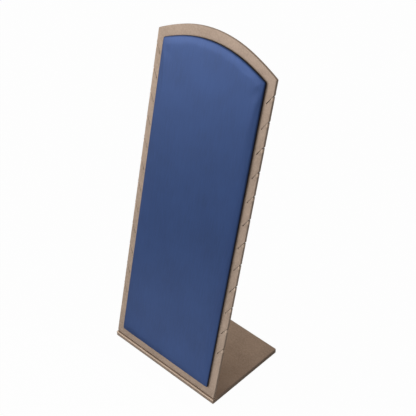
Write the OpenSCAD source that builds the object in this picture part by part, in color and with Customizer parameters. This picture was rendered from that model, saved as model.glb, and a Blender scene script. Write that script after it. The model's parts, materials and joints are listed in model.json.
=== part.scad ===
// Necklace display easel: a leaning arched board with chain slits down both sides and a padded
// insert, standing on the front edge of a flat foot board. Both boards are wrapped in leatherette.
// Axes: X across the width, +Y towards the back, +Z up. Origin: centre of the foot's underside.

/* [Board] */
// Width of the wrapped board
panel_w = 150; // [110:1:220]
// Height of its straight sides, measured up the board
panel_side_h = 360.2; // [350:0.1:460]
// Lean from the vertical, in degrees
lean = 13.8; // [8:0.1:20]
// Thickness of the fibreboard inside
board_t = 2.2; // [2:0.1:5]
// Width of the leatherette turned over onto the back
turn_in = 14; // [9:1:25]

/* [Chain slits] */
// Slits down each side
slit_count = 12; // [1:1:12]
// Distance from one slit to the next
slit_pitch = 25.4; // [12:0.1:25.4]
// Height of the highest slit's inner end above the board's foot
top_slit_h = 335.2; // [300:0.1:338]
// How far each slit reaches in from the edge
slit_reach = 6.4; // [3:0.1:8]
// Slope of a slit below the horizontal, in degrees
slit_slope = 56; // [20:1:65]
// Width of a slit
slit_w = 0.9; // [0.4:0.1:1.5]

/* [Pad] */
// Margin beside the pad
pad_side = 9.8; // [9:0.1:30]
// Margin below the pad
pad_foot = 9.9; // [8:0.1:40]
// Margin above the pad
pad_top = 10.9; // [8:0.1:40]
// Thickness of the card that carries the pad
pad_board_t = 1.2; // [0.8:0.1:2]
// Thickness of the foam
foam_t = 1; // [0.8:0.1:6]

/* [Foot] */
// Width of the wrapped foot board
base_w = 151.5; // [111.5:0.5:230]
// Depth of the wrapped foot board
base_d = 103; // [80:1:160]
// Thickness of the fibreboard inside
base_board_t = 5; // [5:0.5:9]
// Strip of the foot board left in front of the leaning board
front_lip = 1.5; // [1.2:0.1:10]

/* [Sheets and pins] */
// Thickness of the leatherette on both boards
wrap_t = 0.4; // [0.3:0.05:0.45]
// Thickness of the pad's cover
cover_t = 0.3; // [0.2:0.05:0.6]
// Thickness of the liners where they lap the turned-in leatherette
liner_lap_t = 0.2; // [0.1:0.05:0.5]
// Diameter of the two steel pins that plug the board into the foot
pin_d = 1.2; // [0.8:0.1:1.4]
// Length of a pin
pin_l = 30; // [15:1:40]
// Length of pin that stands out of the board
pin_out = 5.4; // [3:0.1:5.4]

/* [Hidden] */
$fn = 96;

// The arch: a middle arc, and a flatter arc on each side that meets it without a corner.
crown_r = 0.875 * panel_w;
crown_half = 0.281 * panel_w;
flank_r = 1.5625 * panel_w;
crown_slope = asin(crown_half / crown_r);
flank_shift = (flank_r - crown_r) * sin(crown_slope);
flank_drop = (flank_r - crown_r) * cos(crown_slope);
flank_end_slope = asin((panel_w / 2 + flank_shift) / flank_r);
crown_y = panel_side_h - flank_r * cos(flank_end_slope) + flank_drop;

// Levels through the board, measured forwards from its front face.
core_front = -wrap_t;
core_back = core_front - board_t;
panel_t = board_t + 2 * wrap_t;
liner_inset = 9;
sheet_gap = 0.2;

// Levels through the pad, measured forwards from the board's front face.
pad_board_front = cover_t + pad_board_t;
foam_front = pad_board_front + foam_t;
pad_front = foam_front + cover_t;
pad_turn_in = 9;
pad_board_inset = 1.6;
tape_w = 16;
tape_count = 3;
tape_margin = 24;

// Levels up through the foot.
base_turn_in = 14;
base_liner_inset = 4;
base_core_low = liner_lap_t + wrap_t;
base_core_high = base_core_low + base_board_t;
base_top = base_core_high + wrap_t;

// Where the board stands: the front of its lower edge, with the back of that edge on the foot.
foot_y = -base_d / 2 + front_lip;
foot_z = base_top + panel_t * sin(lean);

// The pins lie in the middle of the board's thickness.
pin_r = pin_d / 2;
pin_x = 0.3 * panel_w;
pin_level = core_front - board_t / 2;
pin_point = 0.8;
glue_gap = 0.02;
running_gap = 0.06;
hole_extra = 0.25;

eps = 0.1;

champagne = [0.66, 0.58, 0.525];
navy = [0.22, 0.29, 0.46];
fibreboard = [0.62, 0.49, 0.35];
grey_card = [0.62, 0.61, 0.58];
foam_white = [0.90, 0.90, 0.87];
felt_grey = [0.23, 0.22, 0.22];
pin_steel = [0.72, 0.73, 0.75];
tape_white = [0.86, 0.86, 0.80];

// Puts flat work on the leaning board: X across, Y up the board, Z out of its front face.
module on_board() {
    translate([0, foot_y, foot_z])
        rotate([90 - lean, 0, 0])
            children();
}

// One flatter arc of the arch, as a disc: side is 1 for the right-hand arc and -1 for the left.
module flank(side, lowered, drawn_in) {
    translate([-side * flank_shift, crown_y - flank_drop - lowered])
        circle(r = flank_r - drawn_in, $fn = 360);
}

// The middle arc as a disc, with a strip on each side where the flatter arcs take over.
module crown(half_w, lowered, drawn_in) {
    translate([0, crown_y - lowered]) circle(r = crown_r - drawn_in, $fn = 360);
    for (side = [-1, 1])
        translate([side * (crown_half + half_w) / 2, crown_y])
            square([half_w - crown_half, 2 * crown_r], center = true);
}

// Arched outline: its half width, the level of its lower edge, how far the arch is lowered,
// and how far its arcs are drawn in.
module arched(half_w, low, lowered, drawn_in) {
    translate([-half_w, low]) square([2 * half_w, crown_y - lowered - low]);
    intersection() {
        translate([-half_w, crown_y - lowered]) square([2 * half_w, crown_r]);
        flank(-1, lowered, drawn_in);
        flank(1, lowered, drawn_in);
        crown(half_w, lowered, drawn_in);
    }
}

// The board's outline drawn in evenly on every side.
module board_outline(inset) {
    arched(panel_w / 2 - inset, inset, 0, inset);
}

// The pad's outline drawn in evenly on every side.
module pad_outline(inset) {
    arched(panel_w / 2 - pad_side - inset, pad_foot + inset, pad_top, inset);
}

// A sheet or plate between two levels.
module plate(back, front) {
    translate([0, 0, back])
        linear_extrude(height = front - back)
            children();
}

// One slit on the right-hand side, running in and down from the edge to height 0, with a rounded
// inner end. The inset draws the material on both sides of it back evenly.
module slit(inset) {
    width = slit_w + 2 * inset;
    translate([panel_w / 2 - slit_reach, 0])
        rotate(slit_slope) {
            translate([0, -width / 2]) square([2 * slit_reach / cos(slit_slope), width]);
            circle(d = width, $fn = 24);
        }
}

// What is taken off the sharp tongue of board below a slit's mouth. It leaves one thickness of
// leatherette over the point of the core.
module tongue_cut() {
    half_angle = (90 - slit_slope) / 2;
    depth = wrap_t / sin(half_angle) - wrap_t;
    width = 2 * depth * tan(half_angle) + eps;
    translate([panel_w / 2, slit_reach * tan(slit_slope) - slit_w / 2 / cos(slit_slope)])
        rotate(-90 - half_angle)
            translate([-eps, -width / 2])
                square([depth + eps, width]);
}

// Repeats one slit's work at every slit, down both sides.
module at_slits() {
    for (side = [0, 1], i = [0 : slit_count - 1])
        mirror([side, 0])
            translate([0, top_slit_h - i * slit_pitch])
                children();
}

// The board's outline with its slits, drawn in evenly on every side.
module slit_outline(inset) {
    difference() {
        board_outline(inset);
        at_slits() slit(inset);
    }
}

// The outline of the wrapped board.
module wrapped_outline() {
    difference() {
        slit_outline(0);
        at_slits() tongue_cut();
    }
}

// Holes for the two pins, in the board's own axes.
module pin_holes(radius, from, to) {
    for (side = [-1, 1])
        translate([side * pin_x, from, pin_level])
            rotate([-90, 0, 0])
                cylinder(r = radius, h = to - from, $fn = 48);
}

// Arched fibreboard, slit down both sides and drilled for the pins.
module board_core() {
    color(fibreboard)
        on_board()
            difference() {
                plate(core_back, core_front) slit_outline(wrap_t);
                pin_holes(pin_r + glue_gap, -eps, pin_l - pin_out + 2 * glue_gap);
            }
}

// Leatherette over the board's front and edges, lining the slits and turned in around the back.
module board_wrap() {
    color(champagne)
        on_board()
            difference() {
                plate(-panel_t, 0) wrapped_outline();
                plate(core_back, core_front) slit_outline(wrap_t);
                plate(-panel_t - eps, core_back + eps) board_outline(turn_in);
                pin_holes(pin_r + running_gap, -eps, wrap_t + eps);
            }
}

// Sheet that covers the bare back of the board and laps the turned-in leatherette.
module board_back_liner() {
    color(champagne)
        on_board()
            union() {
                plate(-panel_t, core_back) board_outline(turn_in + sheet_gap);
                plate(-panel_t - liner_lap_t, -panel_t) board_outline(liner_inset);
            }
}

// Two headless steel pins, glued into the board's lower edge.
module locating_pins() {
    color(pin_steel)
        on_board()
            for (side = [-1, 1])
                translate([side * pin_x, -pin_out, pin_level])
                    rotate([-90, 0, 0]) {
                        cylinder(r1 = pin_r / 2, r2 = pin_r, h = pin_point, $fn = 48);
                        translate([0, 0, pin_point])
                            cylinder(r = pin_r, h = pin_l - pin_point, $fn = 48);
                    }
}

// Strips of double-sided tape that hold the pad to the board.
module pad_tape() {
    tape_span = panel_w - 2 * (pad_side + tape_margin) - tape_w;
    tape_h = panel_side_h - pad_foot - pad_top - 2 * tape_margin;
    tape_step = tape_span / (tape_count - 1);
    color(tape_white)
        on_board()
            for (i = [0 : tape_count - 1])
                translate([i * tape_step - tape_span / 2, pad_foot + tape_margin + tape_h / 2])
                    plate(0, cover_t) square([tape_w, tape_h], center = true);
}

// Card that stiffens the pad.
module pad_board() {
    color(grey_card)
        on_board()
            plate(cover_t, pad_board_front) pad_outline(pad_board_inset);
}

// Foam over the card and round its edge.
module pad_foam() {
    color(foam_white)
        on_board()
            difference() {
                plate(cover_t, foam_front) pad_outline(cover_t);
                plate(0, pad_board_front) pad_outline(pad_board_inset);
            }
}

// Cover over the foam, turned in behind the card.
module pad_cover() {
    color(navy)
        on_board()
            difference() {
                plate(0, pad_front) pad_outline(0);
                plate(cover_t, foam_front) pad_outline(cover_t);
                plate(-eps, cover_t + eps) pad_outline(pad_turn_in);
            }
}

// A box centred on the foot and drawn in from its sides, between two heights.
module foot_box(inset, low, high) {
    translate([-base_w / 2 + inset, -base_d / 2 + inset, low])
        cube([base_w - 2 * inset, base_d - 2 * inset, high - low]);
}

// Fibreboard foot, with a slanting blind hole for each pin.
module base_core() {
    color(fibreboard)
        difference() {
            foot_box(wrap_t, base_core_low, base_core_high);
            on_board() pin_holes(pin_r + running_gap, -pin_out - hole_extra, wrap_t);
        }
}

// Leatherette over the foot's top and edges, turned in underneath.
module base_wrap() {
    color(champagne)
        difference() {
            foot_box(0, liner_lap_t, base_top);
            foot_box(wrap_t, base_core_low, base_core_high);
            foot_box(base_turn_in, liner_lap_t - eps, base_core_low + eps);
            on_board() pin_holes(pin_r + running_gap, -pin_out / 2, wrap_t);
        }
}

// Felt under the foot; the part stands on it.
module base_liner() {
    color(felt_grey)
        union() {
            foot_box(base_turn_in + sheet_gap, liner_lap_t, base_core_low);
            foot_box(base_liner_inset, 0, liner_lap_t);
        }
}

board_core();
board_wrap();
board_back_liner();
locating_pins();
pad_tape();
pad_board();
pad_foam();
pad_cover();
base_core();
base_wrap();
base_liner();
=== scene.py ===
"""Looks of the necklace display easel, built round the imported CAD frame."""

import json
import math

import bmesh
import bpy
from mathutils import Matrix, Vector, geometry, kdtree


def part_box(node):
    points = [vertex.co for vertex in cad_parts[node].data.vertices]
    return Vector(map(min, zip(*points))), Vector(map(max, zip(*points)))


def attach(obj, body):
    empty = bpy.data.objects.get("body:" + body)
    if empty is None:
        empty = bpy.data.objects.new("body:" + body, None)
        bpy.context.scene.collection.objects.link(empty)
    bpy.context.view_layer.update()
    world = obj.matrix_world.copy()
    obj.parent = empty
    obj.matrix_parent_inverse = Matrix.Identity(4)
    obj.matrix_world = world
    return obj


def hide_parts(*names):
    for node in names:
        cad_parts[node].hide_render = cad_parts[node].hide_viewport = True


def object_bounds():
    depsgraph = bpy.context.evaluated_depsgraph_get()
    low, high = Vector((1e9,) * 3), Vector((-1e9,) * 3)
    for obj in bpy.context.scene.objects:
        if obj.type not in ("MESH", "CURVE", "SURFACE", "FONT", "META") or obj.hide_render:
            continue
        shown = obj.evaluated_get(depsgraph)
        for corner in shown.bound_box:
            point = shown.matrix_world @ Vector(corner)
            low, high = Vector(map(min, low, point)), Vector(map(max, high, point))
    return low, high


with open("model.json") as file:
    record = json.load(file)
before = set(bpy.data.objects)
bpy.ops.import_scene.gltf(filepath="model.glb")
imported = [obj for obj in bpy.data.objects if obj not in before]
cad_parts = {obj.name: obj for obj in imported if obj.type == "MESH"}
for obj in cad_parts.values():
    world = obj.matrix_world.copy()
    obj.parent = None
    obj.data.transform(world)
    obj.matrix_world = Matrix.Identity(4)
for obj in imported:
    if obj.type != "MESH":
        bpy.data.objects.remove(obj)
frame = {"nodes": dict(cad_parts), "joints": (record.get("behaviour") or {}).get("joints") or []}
cad_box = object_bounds()

MM = 0.001

# Points closer than this count as one.
SAME_PLACE = 1e-7

# ---------------------------------------------------------------------------------------------
# The leaning board's own axes, read from the frame: x across, y up the board, z out of its front
# ---------------------------------------------------------------------------------------------

UP_BOARD = Vector(frame["joints"][0]["axis"]).normalized()
OUT_OF_BOARD = Vector((0, -UP_BOARD.z, UP_BOARD.y))


def span(node, direction):
    """Lowest and highest reach of a CAD node along a direction."""
    reach = [v.co.dot(direction) for v in frame["nodes"][node].data.vertices]
    return min(reach), max(reach)


BOARD_FOOT = UP_BOARD * span("board_wrap", UP_BOARD)[0]
BOARD_FOOT += OUT_OF_BOARD * span("board_wrap", OUT_OF_BOARD)[1]
BOARD = Matrix.Translation(BOARD_FOOT) @ Matrix((
    (1, 0, 0, 0),
    (0, UP_BOARD.y, OUT_OF_BOARD.y, 0),
    (0, UP_BOARD.z, OUT_OF_BOARD.z, 0),
    (0, 0, 0, 1),
))


def on_board(node):
    """Lowest and highest corners of a CAD node in the board's own axes."""
    to_board = BOARD.inverted()
    points = [to_board @ v.co for v in frame["nodes"][node].data.vertices]
    low = Vector([min(p[i] for p in points) for i in range(3)])
    high = Vector([max(p[i] for p in points) for i in range(3)])
    return low, high


board_low, board_high = on_board("board_wrap")
core_low, core_high = on_board("board_core")
pad_low, pad_high = on_board("pad_cover")
card_low, card_high = on_board("pad_board")
lining_low, lining_high = on_board("board_back_liner")
pins_low, pins_high = on_board("locating_pins")

base_low, base_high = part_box("base_wrap")
base_core_low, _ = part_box("base_core")
felt_low, felt_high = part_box("base_liner")

# ---------------------------------------------------------------------------------------------
# Sizes, from the frame where it has them
# ---------------------------------------------------------------------------------------------

BOARD_WIDTH = board_high.x - board_low.x
BOARD_TOP = board_high.y
BOARD_THICK = board_high.z - board_low.z
WRAP_THICK = board_high.z - core_high.z
BOARD_CORNER = 1.5 * MM
BOARD_ROUND = 0.75 * MM

PAD_HALF = pad_high.x
PAD_FOOT = pad_low.y
PAD_DROP = BOARD_TOP - pad_high.y
PAD_THICK = pad_high.z
PAD_CORNER = 1.1 * MM
PAD_GIRTH = 0.55 * PAD_THICK
PAD_CROWN = PAD_THICK + 0.75 * MM
PAD_HEM = 9 * MM
COVER_THICK = card_low.z

FOOT_HALF_WIDTH = (base_high.x - base_low.x) / 2
FOOT_HALF_DEPTH = (base_high.y - base_low.y) / 2
FOOT_MIDDLE = Vector(((base_low.x + base_high.x) / 2, (base_low.y + base_high.y) / 2, 0))
FOOT_CORNER = 1.2 * MM
FOOT_ROUND = 0.8 * MM
FOOT_HEM = 9 * MM

# The arch: a middle arc and a flatter arc each side, as shares of the board's width.
CROWN_RADIUS = 0.875 * BOARD_WIDTH
CROWN_HALF = 0.281 * BOARD_WIDTH
FLANK_RADIUS = 1.5625 * BOARD_WIDTH
CROWN_Y = BOARD_TOP - CROWN_RADIUS
CROWN_SLOPE = math.asin(CROWN_HALF / CROWN_RADIUS)
FLANK_X = -(FLANK_RADIUS - CROWN_RADIUS) * math.sin(CROWN_SLOPE)
FLANK_Y = CROWN_Y - (FLANK_RADIUS - CROWN_RADIUS) * math.cos(CROWN_SLOPE)

# The chain slits. A tip is the radius of the leatherette, or of the board, at a slit's mouth.
SLIT_COUNT = 12
SLIT_PITCH = 25.4 * MM
SLIT_TOP = 335.2 * MM
SLIT_REACH = 6.4 * MM
SLIT_RISE = math.radians(56)
SLIT_LENGTH = SLIT_REACH / math.cos(SLIT_RISE)
SLIT_WIDTH = 0.72 * MM
SKIN_TIP = 0.22 * MM
CORE_TIP = 0.75 * MM


# ---------------------------------------------------------------------------------------------
# Outlines: lists of (x, y, nx, ny), a point and the outward direction there
# ---------------------------------------------------------------------------------------------

# The longest gaps between stations, along a line and round an arc.
STEP = 1.6 * MM
ARC_STEP = math.radians(15)


def arc(cx, cy, radius, start, end):
    """Stations along an arc. A hollow corner has a negative radius and a falling angle."""
    turn = abs(end - start)
    count = max(2, math.ceil(turn / ARC_STEP), math.ceil(turn * abs(radius) / STEP))
    stations = []
    for i in range(count + 1):
        angle = start + (end - start) * i / count
        nx, ny = math.cos(angle), math.sin(angle)
        stations.append((cx + radius * nx, cy + radius * ny, nx, ny))
    return stations


def joined(turns, step=STEP):
    """Arcs joined by straight runs, with stations along the runs too."""
    out = [turns[0][0]]
    for turn in turns:
        x0, y0, _, _ = out[-1]
        x1, y1, nx, ny = turn[0]
        length = math.hypot(x1 - x0, y1 - y0)
        for i in range(1, math.ceil(length / step)):
            share = i / math.ceil(length / step)
            out.append((x0 + (x1 - x0) * share, y0 + (y1 - y0) * share, nx, ny))
        if length > SAME_PLACE:
            out.append(turn[0])
        out.extend(turn[1:])
    return out


def mirrored(right_half):
    """The whole outline, from its right-hand half drawn from bottom middle to top middle."""
    left = [(-x, y, -nx, ny) for x, y, nx, ny in reversed(right_half[1:-1])]
    return right_half + left


def corner_on_arc(half_w, radius, lowered):
    """Centre of the small fillet between a straight side and the arch."""
    x = half_w - radius
    y = FLANK_Y - lowered + math.sqrt((FLANK_RADIUS - radius) ** 2 - (x - FLANK_X) ** 2)
    return x, y


def arch_turns(half_w, radius, lowered):
    """Top right-hand corner, flank arc and the right half of the middle arc."""
    x, y = corner_on_arc(half_w, radius, lowered)
    slope = math.atan2(y - FLANK_Y + lowered, x - FLANK_X)
    meet = math.pi / 2 - CROWN_SLOPE
    return [
        arc(x, y, radius, 0, slope),
        arc(FLANK_X, FLANK_Y - lowered, FLANK_RADIUS, slope, meet),
        arc(0, CROWN_Y - lowered, CROWN_RADIUS, meet, math.pi / 2),
    ]


def slit_turns(level, tip):
    """One slit met going up the right-hand side: tip, inner end, upper corner of the mouth."""
    edge = BOARD_WIDTH / 2
    across = math.pi / 2 + SLIT_RISE
    tip_x = edge - tip
    tip_y = (SLIT_REACH - tip) * math.tan(SLIT_RISE)
    tip_y -= (SLIT_WIDTH / 2 + tip) / math.cos(SLIT_RISE)
    mouth_y = tip_y + (SLIT_WIDTH + 2 * tip) / math.cos(SLIT_RISE)
    return [
        arc(tip_x, level + tip_y, tip, 0, across),
        arc(edge - SLIT_REACH, level, -SLIT_WIDTH / 2, across, across - math.pi),
        arc(tip_x, level + mouth_y, tip, across - math.pi, 0),
    ]


def board_outline(tip):
    """The board's outline with every slit. Tip is the radius at the slits' mouths."""
    corner = BOARD_CORNER
    half_w = BOARD_WIDTH / 2
    turns = [[(0, 0, 0, -1)], arc(half_w - corner, corner, corner, -math.pi / 2, 0)]
    for i in reversed(range(SLIT_COUNT)):
        turns += slit_turns(SLIT_TOP - i * SLIT_PITCH, tip)
    return mirrored(joined(turns + arch_turns(half_w, corner, 0)))


def plain_arch(half_w, foot, lowered, corner):
    """An arched outline with no slits."""
    turns = [[(0, foot, 0, -1)], arc(half_w - corner, foot + corner, corner, -math.pi / 2, 0)]
    return mirrored(joined(turns + arch_turns(half_w, corner, lowered)))


def board_arch(inset, corner):
    """The board's outline without slits, drawn in by inset."""
    return plain_arch(BOARD_WIDTH / 2 - inset, inset, inset, corner)


def rectangle(half_w, half_d, corner):
    """A rectangle with small rounded corners, centred on the origin."""
    quarter = math.pi / 2
    turns = [[(0, -half_d, 0, -1)]]
    turns.append(arc(half_w - corner, corner - half_d, corner, -quarter, 0))
    turns.append(arc(half_w - corner, half_d - corner, corner, 0, quarter))
    turns.append([(0, half_d, 0, 1)])
    return mirrored(joined(turns, 4 * MM))


# ---------------------------------------------------------------------------------------------
# Mesh building
# ---------------------------------------------------------------------------------------------

# An edge that turns more than this stays crisp.
SHARP = math.radians(50)

# The flat filler's setting that keeps it inside the outlines.
FILL_INSIDE = 2


def drawn_in(outline, inset):
    """The outline's points, moved in by inset."""
    return [(x - nx * inset, y - ny * inset) for x, y, nx, ny in outline]


def shrunk(outline, inset):
    """The outline's points, moved in by scaling, which keeps its small corners."""
    half_w = max(x for x, _, _, _ in outline)
    low = min(y for _, y, _, _ in outline)
    high = max(y for _, y, _, _ in outline)
    across = 1 - inset / half_w
    up = 1 - 2 * inset / (high - low)
    return [(x * across, low + inset + (y - low) * up) for x, y, _, _ in outline]


def add_ring(bm, points, level):
    """New corners at a level, one for each point."""
    return [bm.verts.new((x, y, level)) for x, y in points]


def bridge(bm, first, second):
    """Quads between two rings of equal count; the outside is to the right of first."""
    count = len(first)
    for i in range(count):
        j = (i + 1) % count
        bm.faces.new((first[i], first[j], second[j], second[i]))


def bridge_all(bm, rings):
    """Quads from each ring to the next."""
    for first, second in zip(rings, rings[1:]):
        bridge(bm, first, second)


def cap(bm, loops, extra, level, upward):
    """Fills the flat area inside the first loop and outside the others, using extra points.

    The other loops bulge outwards, so a face with all its corners on one lies in its hole.
    """
    verts = [v for loop in loops for v in loop]
    holes = [set(loop) for loop in loops[1:]]
    edges = []
    start = 0
    for loop in loops:
        size = len(loop)
        edges += [(start + i, start + (i + 1) % size) for i in range(size)]
        start += size
    verts += [bm.verts.new((x, y, level)) for x, y in extra]
    points = [Vector((v.co.x, v.co.y)) for v in verts]
    made = geometry.delaunay_2d_cdt(points, edges, [], FILL_INSIDE, SAME_PLACE)
    for face in made[2]:
        corners = [verts[made[3][i][0]] for i in face]
        if not upward:
            corners.reverse()
        if not any(hole.issuperset(corners) for hole in holes):
            bm.faces.new(corners)


def flat_cap(bm, rim, middle, holes, level, upward):
    """Fills a rounded rim by way of a middle outline, so that all inside it is shaded flat."""
    inner = add_ring(bm, middle, level)
    cap(bm, [rim, inner], [], level, upward)
    cap(bm, [inner] + holes, [], level, upward)


def lattice(outline, near, far, pitch):
    """Staggered points that lie between two distances in from an outline."""
    rim = kdtree.KDTree(len(outline))
    for i, (x, y, _, _) in enumerate(outline):
        rim.insert((x, y, 0), i)
    rim.balance()
    half_w = max(x for x, _, _, _ in outline)
    top = max(y for _, y, _, _ in outline)
    points = []
    for row in range(int(top / pitch)):
        y = (row + 0.5) * pitch
        x = -half_w + (row % 2 + 1) * pitch / 2
        while x < half_w:
            spot, i, gap = rim.find((x, y, 0))
            _, _, nx, ny = outline[i]
            if near < gap < far and (spot.x - x) * nx + (spot.y - y) * ny > 0:
                points.append((x, y))
            x += pitch
    return points


def as_mesh(bm, name):
    """The bmesh as a named mesh."""
    mesh = bpy.data.meshes.new(name)
    bm.to_mesh(mesh)
    bm.free()
    return mesh


def placed(name, data):
    """A new object in the scene that holds the data."""
    holder = bpy.data.objects.new(name, data)
    bpy.context.scene.collection.objects.link(holder)
    return holder


def finish_mesh(bm, name, matrix):
    """Turns a bmesh into a smooth-shaded piece in the shared frame."""
    bmesh.ops.remove_doubles(bm, verts=bm.verts, dist=SAME_PLACE)
    bmesh.ops.recalc_face_normals(bm, faces=bm.faces)
    for edge in bm.edges:
        edge.smooth = not edge.is_manifold or edge.calc_face_angle() < SHARP
    bm.transform(matrix)
    mesh = as_mesh(bm, name)
    for polygon in mesh.polygons:
        polygon.use_smooth = True
    piece = placed(name, mesh)
    weigh = piece.modifiers.new("even_shading", "WEIGHTED_NORMAL")
    weigh.weight = 100
    weigh.keep_sharp = True
    return piece


def rounded_profile(back, front, radius):
    """(inset, level) pairs round a plate's edge from its back face to its front face."""
    steps = 4
    turn = math.pi / 2 / steps
    low = [(radius * (1 - math.sin(i * turn)), back + radius * (1 - math.cos(i * turn)))
           for i in range(steps + 1)]
    high = [(radius * (1 - math.cos(i * turn)), front - radius * (1 - math.sin(i * turn)))
            for i in range(steps + 1)]
    return low + high


# ---------------------------------------------------------------------------------------------
# Materials
# ---------------------------------------------------------------------------------------------

class Nodes:
    """A short way to write a node tree."""

    def __init__(self, name):
        self.material = bpy.data.materials.new(name)
        self.material.use_nodes = True
        self.tree = self.material.node_tree
        self.tree.nodes.clear()
        self.output = self.tree.nodes.new("ShaderNodeOutputMaterial")
        self.shader = self.add("ShaderNodeBsdfPrincipled")
        self.link(self.shader.outputs[0], self.output.inputs["Surface"])
        self.place = self.add("ShaderNodeTexCoord").outputs["Object"]

    def add(self, kind, **settings):
        """A new node. Each setting is one of its properties or, failing that, an input."""
        node = self.tree.nodes.new(kind)
        for key, value in settings.items():
            if hasattr(node, key):
                setattr(node, key, value)
            else:
                self.put(node.inputs[key.replace("_", " ")], value)
        return node

    def put(self, socket, value):
        """Fills an input with a plain value or with another node's output."""
        if isinstance(value, bpy.types.NodeSocket):
            self.link(value, socket)
        else:
            socket.default_value = value

    def link(self, source, target):
        self.tree.links.new(source, target)

    def math(self, operation, a, b=0.0):
        node = self.tree.nodes.new("ShaderNodeMath")
        node.operation = operation
        self.put(node.inputs[0], a)
        self.put(node.inputs[1], b)
        return node.outputs[0]

    def mix(self, share, a, b):
        node = self.tree.nodes.new("ShaderNodeMix")
        node.data_type = "RGBA"
        self.put(node.inputs["Factor"], share)
        self.put(node.inputs["A"], a)
        self.put(node.inputs["B"], b)
        return node.outputs["Result"]

    def tint(self, colour, towards, share, most):
        """A colour moved towards another by a share of at most most."""
        return self.mix(self.math("MULTIPLY", share, most), colour, towards)

    def stretched(self, scale, tilt=0.0):
        """Object coordinates, stretched by scale after tilting about X."""
        node = self.tree.nodes.new("ShaderNodeMapping")
        node.inputs["Rotation"].default_value = (tilt, 0, 0)
        node.inputs["Scale"].default_value = scale
        self.link(self.place, node.inputs["Vector"])
        return node.outputs[0]

    def noise(self, scale, detail, vector=None):
        """Soft cloudy noise, finer as scale grows."""
        node = self.tree.nodes.new("ShaderNodeTexNoise")
        node.inputs["Scale"].default_value = scale
        node.inputs["Detail"].default_value = detail
        node.inputs["Roughness"].default_value = 0.55
        self.link(vector or self.place, node.inputs["Vector"])
        return node.outputs["Fac"]

    def pebbles(self, scale):
        """Distance from the middle of the nearest of many small cells."""
        node = self.tree.nodes.new("ShaderNodeTexVoronoi")
        node.inputs["Scale"].default_value = scale
        node.inputs["Randomness"].default_value = 1.0
        self.link(self.place, node.inputs["Vector"])
        return node.outputs["Distance"]

    def ramp(self, value, low, high, start=0.0, end=1.0):
        """Value between low and high, spread over start to end."""
        node = self.tree.nodes.new("ShaderNodeMapRange")
        self.put(node.inputs["Value"], value)
        node.inputs["From Min"].default_value = low
        node.inputs["From Max"].default_value = high
        node.inputs["To Min"].default_value = start
        node.inputs["To Max"].default_value = end
        return node.outputs[0]

    def level(self, along, origin):
        """Distance from origin, measured along a direction."""
        node = self.tree.nodes.new("ShaderNodeVectorMath")
        node.operation = "DOT_PRODUCT"
        self.link(self.place, node.inputs[0])
        node.inputs[1].default_value = along
        return self.math("SUBTRACT", node.outputs["Value"], along.dot(origin))

    def band(self, value, low, high, soft):
        """1 between low and high, falling to 0 over soft at both ends."""
        rise = self.ramp(value, low - soft, low)
        fall = self.ramp(value, high + soft, high)
        return self.math("MULTIPLY", rise, fall)

    def show(self, lit, seen, share):
        """Casts one shader's light, while share of what the camera sees is another's."""
        rays = self.tree.nodes.new("ShaderNodeLightPath")
        blend = self.tree.nodes.new("ShaderNodeMixShader")
        self.link(self.math("MULTIPLY", rays.outputs["Is Camera Ray"], share), blend.inputs[0])
        self.link(lit.outputs[0], blend.inputs[1])
        self.link(seen.outputs[0], blend.inputs[2])
        self.link(blend.outputs[0], self.output.inputs["Surface"])

    def edges(self):
        """0.5 on flat ground, more on outer edges and less in hollows."""
        return self.tree.nodes.new("ShaderNodeNewGeometry").outputs["Pointiness"]

    def open_air(self, reach):
        """1 in the open, falling towards 0 in gaps narrower than reach."""
        node = self.tree.nodes.new("ShaderNodeAmbientOcclusion")
        node.samples = 8
        node.inputs["Distance"].default_value = reach
        return node.outputs["AO"]

    def bump(self, height, strength, distance, before=None):
        """The surface's slope over a height, on top of an earlier one."""
        node = self.tree.nodes.new("ShaderNodeBump")
        node.inputs["Strength"].default_value = strength
        node.inputs["Distance"].default_value = distance
        self.link(height, node.inputs["Height"])
        if before is not None:
            self.link(before, node.inputs["Normal"])
        return node.outputs[0]

    def finish(self, **values):
        """Fills the main shader's inputs and gives the material back."""
        for key, value in values.items():
            self.put(self.shader.inputs[key.replace("_", " ")], value)
        return self.material


def shade(r, g, b):
    """Linear colour from the 0 to 255 values a screen shows."""
    def linear(v):
        v /= 255
        return v / 12.92 if v <= 0.04045 else ((v + 0.055) / 1.055) ** 2.4
    return (linear(r), linear(g), linear(b), 1)


LEAN = math.atan2(UP_BOARD.y, UP_BOARD.z)
RIGHT = Vector((1, 0, 0))
BACK = Vector((0, 1, 0))
UP = Vector((0, 0, 1))


def painted_tongue_light(n):
    """Pale painted light on the side of each tongue, just below its slit's mouth, where the side
    would turn towards the light.
    """
    tongue_light_level = SLIT_TOP + SLIT_REACH * math.tan(SLIT_RISE) - 3.4 * MM
    up = n.level(UP_BOARD, BOARD_FOOT)
    steps = n.math("DIVIDE", n.math("SUBTRACT", up, tongue_light_level), SLIT_PITCH)
    part = n.math("SUBTRACT", n.math("FRACT", n.math("ADD", steps, 0.5)), 0.5)
    away = n.math("MULTIPLY", n.math("ABSOLUTE", part), SLIT_PITCH)
    beside = n.ramp(away, 2.4 * MM, 1.0 * MM)
    out = n.math("ABSOLUTE", n.level(RIGHT, Vector()))
    side = n.ramp(out, BOARD_WIDTH / 2 - 1.6 * MM, BOARD_WIDTH / 2 - 0.8 * MM)
    slits = n.band(steps, -SLIT_COUNT + 0.7, 0.3, 0.1)
    return n.math("MULTIPLY", n.math("MULTIPLY", beside, side), slits)


def painted_lip_highlight(n):
    """The foot's front upper edge, painted pale as a highlight where light from above falls on
    it.
    """
    depth = n.level(BACK, base_low)
    height = n.level(UP, base_high)
    edge = n.band(height, -0.9 * MM, 0.3 * MM, 0.4 * MM)
    return n.math("MULTIPLY", edge, n.ramp(depth, 1.4 * MM, 1.0 * MM))


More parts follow.
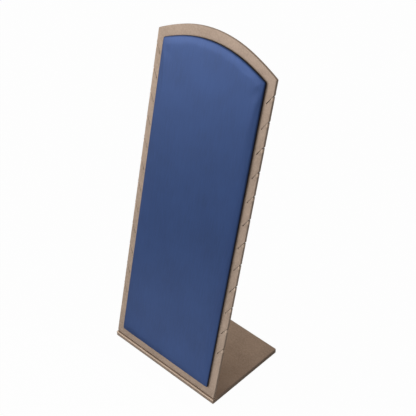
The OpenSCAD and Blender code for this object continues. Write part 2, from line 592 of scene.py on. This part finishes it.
def painted_board_shade(n):
    """Painted shade on the foot's top beside the board, which leans over it and keeps light off.
    """
    depth = n.level(BACK, base_low)
    height = n.level(UP, base_high)
    on_top = n.band(height, -0.2 * MM, 0.4 * MM, 0.4 * MM)
    behind = n.math("MULTIPLY", n.ramp(depth, 3 * MM, 6 * MM), n.ramp(depth, 78 * MM, 8 * MM))
    return n.math("MULTIPLY", on_top, behind)


def champagne_leatherette():
    """Fine-pebbled leatherette with a soft metallic ink."""
    n = Nodes("champagne_leatherette")
    cloudy = n.noise(38, 4)
    speckle = n.noise(520, 4)
    grain = n.pebbles(1500)
    crease = n.noise(260, 5)
    colour = n.mix(n.ramp(cloudy, 0.35, 0.65), shade(180, 158, 140), shade(195, 172, 153))
    colour = n.tint(colour, shade(218, 197, 179), n.ramp(speckle, 0.4, 0.65), 0.45)
    colour = n.tint(colour, shade(150, 128, 112), n.ramp(grain, 0.45, 0.1), 0.3)
    colour = n.tint(colour, shade(226, 208, 192), n.ramp(n.edges(), 0.51, 0.57), 0.45)
    # Painted shade on the foot's top beside the leaning board.
    colour = n.tint(colour, shade(112, 92, 78), painted_board_shade(n), 0.5)
    # Painted light: the tongues' sides and the foot's front upper edge lightened to a pale
    # colour.
    painted_light = n.math("MAXIMUM", painted_tongue_light(n), n.math("MULTIPLY", painted_lip_highlight(n), 0.8))
    colour = n.mix(painted_light, colour, shade(240, 216, 194))
    # Painted shade: colour darkened in slits, seams and narrow gaps, where shade falls.
    open_air = n.ramp(n.open_air(1.6 * MM), 0.15, 0.6)
    colour = n.mix(open_air, shade(52, 40, 33), colour)
    rough = n.math("ADD", n.math("MULTIPLY", speckle, 0.16), 0.46)
    normal = n.bump(grain, 0.45, 0.15 * MM)
    normal = n.bump(crease, 0.3, 0.4 * MM, normal)
    return n.finish(
        Base_Color=colour, Metallic=0.5, Roughness=rough, Normal=normal,
        Specular_IOR_Level=0.35,
    )


def navy_leatherette():
    """Satin leatherette, brushed up the pad, with painted shade down the pad's side."""
    n = Nodes("navy_leatherette")
    brushed = n.noise(1, 4, n.stretched((1500, 60, 60), LEAN))
    cloudy = n.noise(24, 3)
    grain = n.pebbles(1700)
    colour = n.mix(n.ramp(cloudy, 0.3, 0.7), shade(40, 69, 122), shade(46, 77, 134))
    colour = n.tint(colour, shade(60, 96, 162), n.ramp(brushed, 0.35, 0.75), 0.3)
    # Painted shade: the pad's side, where it curls under against the board, darkened nearly to
    # black.
    face = n.ramp(n.level(OUT_OF_BOARD, BOARD_FOOT), 0.5 * PAD_THICK, 0.85 * PAD_THICK)
    colour = n.mix(face, shade(16, 17, 24), colour)
    rough = n.math("ADD", n.math("MULTIPLY", brushed, 0.1), 0.38)
    normal = n.bump(brushed, 0.12, 0.2 * MM)
    normal = n.bump(grain, 0.12, 0.08 * MM, normal)
    return n.finish(
        Base_Color=colour, Metallic=0.6, Roughness=rough, Normal=normal,
        Specular_IOR_Level=0.5, Coat_Weight=0.3, Coat_Roughness=0.35,
    )


def felt():
    """Dark felt with matted fibres."""
    n = Nodes("felt")
    fibre = n.noise(1400, 5)
    colour = n.mix(fibre, shade(44, 42, 42), shade(74, 71, 70))
    return n.finish(
        Base_Color=colour, Roughness=0.96, Normal=n.bump(fibre, 0.6, 0.3 * MM),
        Sheen_Weight=0.4, Specular_IOR_Level=0.2,
    )


def fibreboard():
    """Brown fibreboard with flecks drawn out upwards."""
    n = Nodes("fibreboard")
    flecks = n.noise(900, 4, n.stretched((1, 1, 0.35)))
    colour = n.mix(n.ramp(flecks, 0.3, 0.7), shade(140, 108, 76), shade(176, 144, 106))
    return n.finish(Base_Color=colour, Roughness=0.88, Normal=n.bump(flecks, 0.4, 0.2 * MM))


def grey_card():
    """Recycled card with a faint pulp grain."""
    n = Nodes("grey_card")
    pulp = n.noise(700, 5)
    colour = n.mix(n.ramp(pulp, 0.3, 0.7), shade(148, 146, 138), shade(168, 166, 158))
    return n.finish(Base_Color=colour, Roughness=0.92, Normal=n.bump(pulp, 0.25, 0.1 * MM))


def foam():
    """Pale foam with small cells."""
    n = Nodes("foam")
    cells = n.pebbles(1600)
    colour = n.mix(n.ramp(cells, 0.0, 0.5), shade(206, 204, 192), shade(232, 231, 220))
    return n.finish(Base_Color=colour, Roughness=0.95, Normal=n.bump(cells, 0.6, 0.3 * MM))


def tape():
    """Cream tape with fine threads that run up the board."""
    n = Nodes("tape")
    scrim = n.noise(1, 3, n.stretched((900, 120, 120), LEAN))
    colour = n.mix(scrim, shade(214, 212, 196), shade(232, 230, 214))
    return n.finish(Base_Color=colour, Roughness=0.55, Normal=n.bump(scrim, 0.2, 0.1 * MM))


def pin_steel():
    """Drawn steel wire."""
    n = Nodes("pin_steel")
    drawn = n.noise(1, 3, n.stretched((3000, 120, 120), LEAN))
    rough = n.math("ADD", n.math("MULTIPLY", drawn, 0.2), 0.2)
    colour = n.mix(drawn, shade(168, 170, 174), shade(200, 202, 206))
    return n.finish(
        Base_Color=colour, Metallic=1.0, Roughness=rough, Normal=n.bump(drawn, 0.1, 0.05 * MM),
    )


# ---------------------------------------------------------------------------------------------
# Pieces
# ---------------------------------------------------------------------------------------------

def dress(piece, body, material, node):
    """Gives a piece its body and material, and hides the node it stands for."""
    piece.data.materials.clear()
    piece.data.materials.append(material)
    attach(piece, body)
    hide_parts(node)


def smooth(value, low, high):
    """0 below low, 1 above high, and an even curve between."""
    share = min(1.0, max(0.0, (value - low) / (high - low)))
    return share * share * (3 - 2 * share)


def by_slit(x, y):
    """A point's nearest slit, its place along and across it, and how far it is past an end."""
    middle = SLIT_TOP + SLIT_REACH * math.tan(SLIT_RISE) / 2
    index = min(SLIT_COUNT - 1, max(0, round((middle - y) / SLIT_PITCH)))
    out = abs(x) - (BOARD_WIDTH / 2 - SLIT_REACH)
    up = y - (SLIT_TOP - index * SLIT_PITCH)
    along = out * math.cos(SLIT_RISE) + up * math.sin(SLIT_RISE)
    across = up * math.cos(SLIT_RISE) - out * math.sin(SLIT_RISE)
    beyond = max(0.0, -along, along - SLIT_LENGTH)
    return index, along, across, beyond


def slit_gap(x, y):
    """Distance from a point to the middle line of its nearest slit."""
    _, _, across, beyond = by_slit(x, y)
    return math.hypot(beyond, across)


def shut_share(x, index):
    """How shut a slit lies: 1 on the left, and on the right uneven but more so lower down."""
    if x < 0:
        return 1.0
    return min(1.0, 0.5 - 0.5 * math.cos(2.5 * index - 0.2) + 0.06 * index)


def pressed(along, across, beyond, shut):
    """How far the leatherette beside a slit is pressed across it; the tongue gives the most."""
    near = math.exp(-(across / (2.2 * MM)) ** 2 - (beyond / (2 * MM)) ** 2)
    begins = 0.25 * (1 - shut) * SLIT_LENGTH
    full = (0.65 - 0.35 * shut) * SLIT_LENGTH
    give = 0.42 * MM if across < 0 else -0.15 * MM
    return near * smooth(along, begins, full) * give * (1 + 0.15 * shut)


def sprung(x, z, along, across):
    """How far the tongue's edge stands proud of the face, and the edge above it dips."""
    front = smooth(z, -1.6 * MM, -0.4 * MM)
    lip = 0.42 * math.exp(-((across + 1.1 * MM) / (1.0 * MM)) ** 2)
    dip = 0.20 * math.exp(-((across - 1.1 * MM) / (1.4 * MM)) ** 2)
    length = math.exp(-((along - 0.65 * SLIT_LENGTH) / (0.45 * SLIT_LENGTH)) ** 2)
    worn = 1.0 if x > 0 else 0.3
    return worn * front * (lip - dip) * length * MM


def pulled_in(x, along):
    """How far the board's side is pulled in beside a slit's mouth."""
    mouth = SLIT_LENGTH - 1.0 * MM
    pull = 0.06 * MM * math.exp(-((along - mouth) / (4.2 * MM)) ** 2)
    return pull * smooth(abs(x), BOARD_WIDTH / 2 - 5 * MM, BOARD_WIDTH / 2)


def settled(point):
    """Where a point of the leatherette lies once the slits are cut, lined and used."""
    x, y, z = point
    index, along, across, beyond = by_slit(x, y)
    shift = pressed(along, across, beyond, shut_share(x, index))
    x -= math.copysign(shift * math.sin(SLIT_RISE), x)
    y += shift * math.cos(SLIT_RISE)
    z += sprung(x, z, along, across)
    x -= math.copysign(pulled_in(x, along), x)
    return x, tucked(y, z), z


def tucked(y, z):
    """The wrap bunches under the board's lower edge and fills the wedge above the foot."""
    wedge = (z + BOARD_THICK) * UP_BOARD.y / UP_BOARD.z
    behind = smooth(-z, 0.4 * MM, 1.2 * MM)
    return y - 0.9 * wedge * behind * (1 - smooth(y, 0.1 * MM, 0.7 * MM))


def edge_radius(x, y, radius):
    """The edge's rounding at a point: more along the foot, and a tight fold beside the slits."""
    open_edge = smooth(slit_gap(x, y), 0.9 * MM, 4 * MM)
    soft = radius + 0.45 * MM * (1 - smooth(y, 0.5 * MM, 3 * MM))
    fold = 0.18 * MM if x > 0 else 0.05 * MM
    return fold + (soft - fold) * open_edge


def board_edge(bm, outline, back, front, radius):
    """Rings up the board's edge, rounded over at both faces."""
    radii = [edge_radius(x, y, radius) for x, y, _, _ in outline]
    turns = [i * math.pi / 8 for i in range(5)]
    steps = [(back, 1, turn) for turn in turns]
    steps += [(front, -1, turn) for turn in reversed(turns)]
    rings = []
    for face, side, turn in steps:
        ring = []
        for (x, y, nx, ny), r in zip(outline, radii):
            inset = r * (1 - math.sin(turn))
            level = face + side * r * (1 - math.cos(turn))
            ring.append(bm.verts.new((x - nx * inset, y - ny * inset, level)))
        rings.append(ring)
    bridge_all(bm, rings)
    return rings


def board_skin(material):
    """Leatherette round the board, with rounded edges, lined slits and a turned-in back."""
    outline = board_outline(SKIN_TIP)
    bm = bmesh.new()
    rings = board_edge(bm, outline, -BOARD_THICK, 0, BOARD_ROUND)
    cap(bm, [rings[-1]], lattice(outline, 1.3 * MM, 13 * MM, 1.4 * MM), 0, True)
    turn_in = drawn_in(board_arch(BOARD_WIDTH / 2 - lining_high.x + 4.8 * MM, 1 * MM), 0)
    hem = add_ring(bm, turn_in, -BOARD_THICK)
    cap(bm, [rings[0], hem], [], -BOARD_THICK, False)
    bottom = add_ring(bm, turn_in, -BOARD_THICK + WRAP_THICK)
    bridge(bm, hem[::-1], bottom[::-1])
    cap(bm, [bottom], [], -BOARD_THICK + WRAP_THICK, False)
    for v in bm.verts:
        v.co = settled(v.co)
    piece = finish_mesh(bm, "board_leatherette", BOARD)
    dress(piece, "board", material, "board_wrap")


def board_panel(material):
    """The fibreboard inside, eased the same way so that it stays under its leatherette."""
    edge = drawn_in(board_outline(CORE_TIP), WRAP_THICK)
    bm = bmesh.new()
    back = add_ring(bm, edge, core_low.z)
    front = add_ring(bm, edge, core_high.z)
    bridge(bm, back, front)
    cap(bm, [back], [], core_low.z, False)
    cap(bm, [front], [], core_high.z, True)
    for v in bm.verts:
        x, y, _ = settled((v.co.x, v.co.y, core_low.z))
        v.co.x, v.co.y = x, y
    piece = finish_mesh(bm, "board_fibreboard", BOARD)
    dress(piece, "board", material, "board_core")


def back_sheet(material):
    """Liner on the board's back, with the turned-in hem showing through as a low step."""
    outline = board_arch(BOARD_WIDTH / 2 - lining_high.x, 2 * MM)
    hem = 5.2 * MM
    back = lining_low.z
    sunk = back + 0.7 * WRAP_THICK
    face = board_low.z
    steps = [
        (hem + 1 * MM, sunk), (hem - 0.7 * MM, back), (0.3 * MM, back),
        (0, (back + face) / 2), (0, face), (hem, face), (hem, face + WRAP_THICK),
    ]
    bm = bmesh.new()
    rings = [add_ring(bm, shrunk(outline, inset), level) for inset, level in steps]
    bridge_all(bm, rings)
    flat_cap(bm, rings[0], shrunk(outline, hem + 3 * MM), [], sunk, False)
    cap(bm, [rings[-1]], [], face + WRAP_THICK, True)
    piece = finish_mesh(bm, "board_back_sheet", BOARD)
    dress(piece, "board", material, "board_back_liner")


# ---------------------------------------------------------------------------------------------
# The pad
# ---------------------------------------------------------------------------------------------

def arch_height(x, lowered):
    """Height of the arch above the board's foot at x."""
    x = abs(x)
    if x < CROWN_HALF:
        return CROWN_Y - lowered + math.sqrt(CROWN_RADIUS ** 2 - x ** 2)
    return FLANK_Y - lowered + math.sqrt(FLANK_RADIUS ** 2 - (x - FLANK_X) ** 2)


def edge_steps(length):
    """Distances from 0 to length, close together at both ends."""
    gap = 0.4 * MM
    growth = 1.25
    widest = 3.5 * MM
    half = []
    at = 0.0
    while at < length / 2 - gap / 2:
        half.append(at)
        at += gap
        gap = min(gap * growth, widest)
    return half + [length - d for d in reversed(half)]


def shoulder(distance, rise):
    """Height above the pad's widest line at a distance in from its edge: tight, then easing."""
    tight = 0.6 * rise
    turn = max(0.0, 1 - distance / (1.1 * MM))
    ease = max(0.0, 1 - distance / (10 * MM))
    return tight * math.sqrt(1 - turn * turn) + (rise - tight) * (1 - ease ** 2.4)


def pad_point(x, share, inset):
    """Where a grid point of the pad lies, and its distances in from the side and the end."""
    half = PAD_HALF - inset
    foot = PAD_FOOT + inset
    top = arch_height(x, PAD_DROP + inset)
    y = foot + share * (top - foot)
    slope = (arch_height(x + MM, PAD_DROP) - arch_height(x - MM, PAD_DROP)) / (2 * MM)
    from_side = half - abs(x)
    from_end = min(y - foot, (top - y) / math.hypot(1, slope))
    if from_side >= PAD_CORNER or from_end >= PAD_CORNER:
        return x, y, from_side, from_end
    a = 1 - from_side / PAD_CORNER
    b = 1 - from_end / PAD_CORNER
    shift_x = PAD_CORNER * a * (1 - math.sqrt(1 - b * b / 2))
    shift_y = PAD_CORNER * b * (1 - math.sqrt(1 - a * a / 2))
    x -= math.copysign(shift_x, x)
    y += shift_y if share < 0.5 else -shift_y
    from_rim = PAD_CORNER * (1 - max(a, b))
    return x, y, from_rim, from_rim


def pleats(x, y):
    """Small gathers where the cover is pulled round the pad's corners."""
    end = PAD_FOOT if y < BOARD_TOP / 2 else arch_height(PAD_HALF, PAD_DROP)
    out = PAD_HALF - abs(x)
    up = abs(y - end)
    away = math.hypot(out, up)
    turn = math.atan2(up, out)
    depth = 0.03 * MM * smooth(away, 0.5 * MM, 2.5 * MM) * math.exp(-away / (4.5 * MM))
    return depth * math.sin(7 * turn + 40 * x + 0.8)


def pad_face(bm, inset, height):
    """Grid over the pad's face, from its widest line up; returns its closed rim."""
    length = BOARD_TOP - PAD_DROP - PAD_FOOT - 2 * inset
    half = PAD_HALF - inset
    rise = height - PAD_GIRTH
    columns = [d - half for d in edge_steps(2 * half)]
    rows = [d / length for d in edge_steps(length)]
    grid = []
    for share in rows:
        line = []
        for across in columns:
            x, y, side, end = pad_point(across, share, inset)
            level = shoulder(side, rise) * shoulder(end, rise) / rise
            level += pleats(x, y) * min(1.0, min(side, end) / MM)
            line.append(bm.verts.new((x, y, PAD_GIRTH + level)))
        grid.append(line)
    for low, high in zip(grid, grid[1:]):
        for i in range(len(columns) - 1):
            bm.faces.new((low[i], low[i + 1], high[i + 1], high[i]))
    rim = grid[0][:-1] + [line[-1] for line in grid[:-1]]
    return rim + grid[-1][:0:-1] + [line[0] for line in reversed(grid[1:])]


def curled_in(ring, inset):
    """A closed ring's points moved in along its own normals."""
    points = []
    for i, v in enumerate(ring):
        along = (ring[(i + 1) % len(ring)].co - ring[i - 1].co).normalized()
        points.append((v.co.x - along.y * inset, v.co.y + along.x * inset))
    return points


def pad_side(bm, rim, base, curl):
    """Curls the pad's side under by curl, from its widest line down to its back."""
    rings = [rim]
    for inset, share in ((0.06, 0.72), (0.23, 0.42), (0.54, 0.18), (1.0, 0.0)):
        level = base + (PAD_GIRTH - base) * share
        rings.append(add_ring(bm, curled_in(rim, inset * curl), level))
    for first, second in zip(rings[1:], rings):
        bridge(bm, first, second)
    return rings[-1]


def hold_low(piece, below):
    """Names a vertex group for the part of a piece that lies below a level over the board."""
    held = piece.vertex_groups.new(name="held")
    to_board = BOARD.inverted()
    for v in piece.data.vertices:
        if (to_board @ v.co).z < below:
            held.add([v.index], 1.0, "REPLACE")
    return held.name


def stiff_cloth(piece, held, frames):
    """Makes the piece a stiff cloth, held in part and pushed out a little from behind."""
    cloth = piece.modifiers.new("settle", "CLOTH")
    cloth.settings.quality = 6
    cloth.settings.mass = 0.3
    cloth.settings.tension_stiffness = 25
    cloth.settings.compression_stiffness = 25
    cloth.settings.shear_stiffness = 8
    cloth.settings.bending_stiffness = 3
    cloth.settings.use_pressure = True
    cloth.settings.uniform_pressure_force = 2
    cloth.settings.vertex_group_mass = held
    cloth.settings.effector_weights.gravity = 0
    cloth.point_cache.frame_start = 1
    cloth.point_cache.frame_end = frames
    return cloth


def settle(piece, cap_move):
    """Lets the cover settle over its foam as cloth, moving no point further than cap_move."""
    frames = 20
    cloth = stiff_cloth(piece, hold_low(piece, 0.62 * PAD_THICK), frames)
    scene = bpy.context.scene
    for at in range(1, frames + 1):
        scene.frame_set(at)
    graph = bpy.context.evaluated_depsgraph_get()
    moved = [v.co.copy() for v in piece.evaluated_get(graph).data.vertices]
    piece.modifiers.remove(cloth)
    scene.frame_set(1)
    for v, end in zip(piece.data.vertices, moved):
        shift = end - v.co
        v.co += shift * min(1.0, cap_move / max(shift.length, SAME_PLACE))


def pad_cover(material):
    """Navy cover: crowned over the foam, curled under at the edge and turned in at the back."""
    bm = bmesh.new()
    back = pad_side(bm, pad_face(bm, 0, PAD_CROWN), 0, 0.5 * MM)
    hole = plain_arch(PAD_HALF - PAD_HEM, PAD_FOOT + PAD_HEM, PAD_DROP + PAD_HEM, 1 * MM)
    cap(bm, [back, add_ring(bm, drawn_in(hole, 0), 0)], [], 0, False)
    piece = finish_mesh(bm, "pad_soft_cover", BOARD)
    piece.modifiers.clear()
    settle(piece, 0.1 * MM)
    round_off = piece.modifiers.new("round_off", "SUBSURF")
    round_off.levels = 1
    round_off.render_levels = 1
    thicken = piece.modifiers.new("thicken", "SOLIDIFY")
    thicken.thickness = COVER_THICK * 0.9
    thicken.offset = -1
    dress(piece, "board", material, "pad_cover")


def pad_foam(material):
    """Foam under the cover, hollowed at the back for the card."""
    bm = bmesh.new()
    rim = pad_face(bm, 1 * MM, PAD_CROWN - 2 * COVER_THICK)
    back = pad_side(bm, rim, COVER_THICK, 0.4 * MM)
    card = plain_arch(card_high.x, card_low.y, BOARD_TOP - card_high.y, 1 * MM)
    hollow = drawn_in(card, 0)
    mouth = add_ring(bm, hollow, COVER_THICK)
    ceiling = add_ring(bm, hollow, card_high.z)
    cap(bm, [back, mouth], [], COVER_THICK, False)
    bridge(bm, ceiling, mouth)
    cap(bm, [ceiling], [], card_high.z, False)
    piece = finish_mesh(bm, "pad_soft_foam", BOARD)
    dress(piece, "board", material, "pad_foam")


# ---------------------------------------------------------------------------------------------
# The foot
# ---------------------------------------------------------------------------------------------

def pin_mouths():
    """Centres, on the foot's top, of the two holes for the pins, and the pins' radius."""
    radius = (pins_high.z - pins_low.z) / 2
    centres = []
    for x in (pins_low.x + radius, pins_high.x - radius):
        axis = BOARD @ Vector((x, 0, (pins_low.z + pins_high.z) / 2))
        axis += UP_BOARD * (base_high.z - axis.z) / UP_BOARD.z
        centres.append(axis - FOOT_MIDDLE)
    return centres, radius


def hole_ring(bm, centre, radius, level, shift):
    """A pin hole's rim on a level plane; the slanted pin makes it a slight ellipse."""
    count = 20
    ring = []
    for i in range(count):
        angle = 2 * math.pi * i / count
        ring.append(bm.verts.new((
            centre.x + radius * math.cos(angle),
            centre.y + shift + radius * math.sin(angle) / UP_BOARD.z,
            level,
        )))
    return ring


def pin_holes(bm):
    """Rims of the two pin holes on the foot's top, and on the underside of its leatherette."""
    centres, radius = pin_mouths()
    radius += 0.06 * MM
    shift = -WRAP_THICK * UP_BOARD.y / UP_BOARD.z
    rims = [hole_ring(bm, c, radius, base_high.z, 0) for c in centres]
    floors = [hole_ring(bm, c, radius, base_high.z - WRAP_THICK, shift) for c in centres]
    return rims, floors


def foot_skin(material):
    """Leatherette round the foot, with rounded edges and the two pin holes."""
    outline = rectangle(FOOT_HALF_WIDTH, FOOT_HALF_DEPTH, FOOT_CORNER)
    bm = bmesh.new()
    rings = [add_ring(bm, drawn_in(outline, inset), level)
             for inset, level in rounded_profile(base_low.z, base_high.z, FOOT_ROUND)]
    bridge_all(bm, rings)
    rims, floors = pin_holes(bm)
    middle = rectangle(FOOT_HALF_WIDTH - 1.5 * MM, FOOT_HALF_DEPTH - 1.5 * MM, 1 * MM)
    flat_cap(bm, rings[-1], drawn_in(middle, 0), rims, base_high.z, True)
    for rim, floor in zip(rims, floors):
        bridge(bm, rim, floor)
    turn_in = drawn_in(rectangle(felt_high.x - FOOT_HEM, felt_high.y - FOOT_HEM, 1 * MM), 0)
    hem = add_ring(bm, turn_in, base_low.z)
    cap(bm, [rings[0], hem], [], base_low.z, False)
    ceiling = add_ring(bm, turn_in, base_core_low.z)
    bridge(bm, ceiling, hem)
    cap(bm, [ceiling], [], base_core_low.z, False)
    piece = finish_mesh(bm, "foot_leatherette", Matrix.Translation(FOOT_MIDDLE))
    dress(piece, "foot", material, "base_wrap")


def foot_felt(material):
    """Felt under the foot, rounded over at its cut edge and dipped inside the hem."""
    outline = rectangle(felt_high.x, felt_high.y, 2 * MM)
    inside_hem = FOOT_HEM + 1.3 * MM
    steps = [
        (0.4 * MM, felt_low.z), (-0.1 * MM, (felt_low.z + base_low.z) / 2), (0, base_low.z),
        (inside_hem, base_low.z), (inside_hem, base_core_low.z),
    ]
    bm = bmesh.new()
    rings = [add_ring(bm, shrunk(outline, inset), level) for inset, level in steps]
    bridge_all(bm, rings)
    flat_cap(bm, rings[0], shrunk(outline, 2 * MM), [], felt_low.z, False)
    cap(bm, [rings[-1]], [], base_core_low.z, True)
    piece = finish_mesh(bm, "foot_felt", Matrix.Translation(FOOT_MIDDLE))
    dress(piece, "foot", material, "base_liner")


# ---------------------------------------------------------------------------------------------
# Scene
# ---------------------------------------------------------------------------------------------

WHITE = (1, 1, 1, 1)


def repaint(node, material):
    """Gives a CAD node that stays in view its procedural material."""
    slots = frame["nodes"][node].data.materials
    slots.clear()
    slots.append(material)


def build_object():
    """Every piece and every CAD node that stays in view, each in its material."""
    champagne = champagne_leatherette()
    navy = navy_leatherette()
    board = fibreboard()
    board_skin(champagne)
    board_panel(board)
    back_sheet(champagne)
    pad_cover(navy)
    pad_foam(foam())
    foot_skin(champagne)
    foot_felt(felt())
    repaint("base_core", board)
    repaint("pad_board", grey_card())
    repaint("pad_tape", tape())
    repaint("locating_pins", pin_steel())


def heading(azimuth, elevation):
    """Unit direction from the object, in degrees round from the front and up from level."""
    turn = math.radians(azimuth)
    rise = math.radians(elevation)
    flat = math.cos(rise)
    return Vector((math.sin(turn) * flat, -math.cos(turn) * flat, math.sin(rise)))


def floor_material():
    """Near-white floor, lit as a grey one but seen almost as plain white."""
    n = Nodes("pale_floor")
    tone = n.noise(3, 2)
    n.finish(Base_Color=n.mix(tone, shade(184, 184, 184), shade(190, 190, 190)), Roughness=0.85)
    n.show(n.shader, n.add("ShaderNodeEmission", Color=WHITE, Strength=1.0), 0.98)
    return n.material


def lay_floor():
    """A wide flat floor just under the felt."""
    bm = bmesh.new()
    bmesh.ops.create_grid(bm, x_segments=8, y_segments=8, size=6)
    floor = placed("floor", as_mesh(bm, "floor"))
    floor.location.z = cad_box[0].z - 0.2 * MM
    floor.data.materials.append(floor_material())


def floor_glow():
    """An oval patch of lit floor in front, which the camera doesn't see."""
    half_w = 0.27
    half_d = 0.165
    count = 48
    n = Nodes("floor_glow")
    glow = n.add("ShaderNodeEmission", Color=WHITE, Strength=0.72)
    n.link(glow.outputs[0], n.output.inputs["Surface"])
    bm = bmesh.new()
    turns = [2 * math.pi * i / count for i in range(count)]
    bm.faces.new([bm.verts.new((half_w * math.cos(t), half_d * math.sin(t), 0)) for t in turns])
    patch = placed("floor_glow", as_mesh(bm, "floor_glow"))
    patch.location = (0.03, -0.235, cad_box[0].z - 0.1 * MM)
    patch.visible_camera = False
    patch.data.materials.append(n.material)


def soft_box():
    """One large soft box to the front left, a little above the object's middle."""
    middle = (cad_box[0] + cad_box[1]) / 2
    towards = heading(-42, 9)
    distance = 1.8
    light = bpy.data.lights.new("key", "AREA")
    light.shape = "RECTANGLE"
    light.size = 1.2
    light.size_y = 0.7
    light.energy = 8.0
    lamp = placed("key", light)
    lamp.location = middle + distance * towards
    lamp.rotation_euler = (-towards).to_track_quat("-Z", "Y").to_euler()


class RoomNodes(Nodes):
    """The same short names for the room's light; place is the direction looked in."""

    def __init__(self, world):
        world.use_nodes = True
        self.tree = world.node_tree
        self.tree.nodes.clear()
        self.output = self.tree.nodes.new("ShaderNodeOutputWorld")
        self.place = self.tree.nodes.new("ShaderNodeTexCoord").outputs["Generated"]

    def towards(self, direction, square, along):
        """A value that goes from square to along as the look turns to a direction."""
        return self.ramp(self.level(Vector(direction), Vector()), 0, 1, square, along)

    def glow(self, colour, strength):
        """Plain light of a colour and strength."""
        return self.add("ShaderNodeBackground", Color=colour, Strength=strength)


def light_room():
    """A dim room, brightest to the left and darkest to the right, but seen as plain white."""
    world = bpy.data.worlds.new("studio")
    bpy.context.scene.world = world
    n = RoomNodes(world)
    power = n.towards((0.98, -0.15, -0.1), 0.52, 0.1)
    power = n.math("MULTIPLY", power, n.towards((-0.95, -0.05, 0.3), 1, 1.5))
    power = n.math("MULTIPLY", power, n.towards((0.3, 0.8, 0.52), 1, 0.62))
    warm = n.mix(n.towards((-0.2, 0.8, 0.5), 0, 1), WHITE, (1, 0.9, 0.8, 1))
    n.show(n.glow(warm, power), n.glow(WHITE, 1.0), 1.0)


def place_camera():
    """The camera looks at the easel from the front right and above, rolled very slightly."""
    towards = heading(44.05, 37.83)
    aim = Vector((0.01817, 0.00475, 0.20134))
    distance = 0.957
    roll = Matrix.Rotation(math.radians(-0.82), 4, "Z")
    data = bpy.data.cameras.new("camera")
    data.sensor_width = 36
    data.lens = 83.09
    data.clip_start = 0.05
    data.clip_end = 20
    camera = placed("camera", data)
    turn = (-towards).to_track_quat("-Z", "Y").to_matrix().to_4x4()
    camera.matrix_world = Matrix.Translation(aim + towards * distance) @ turn @ roll
    bpy.context.scene.camera = camera


def set_tones():
    """Plain tones, with no film look over them."""
    view = bpy.context.scene.view_settings
    view.view_transform = "Standard"
    view.look = "None"


build_object()
lay_floor()
soft_box()
floor_glow()
light_room()
place_camera()
set_tones()
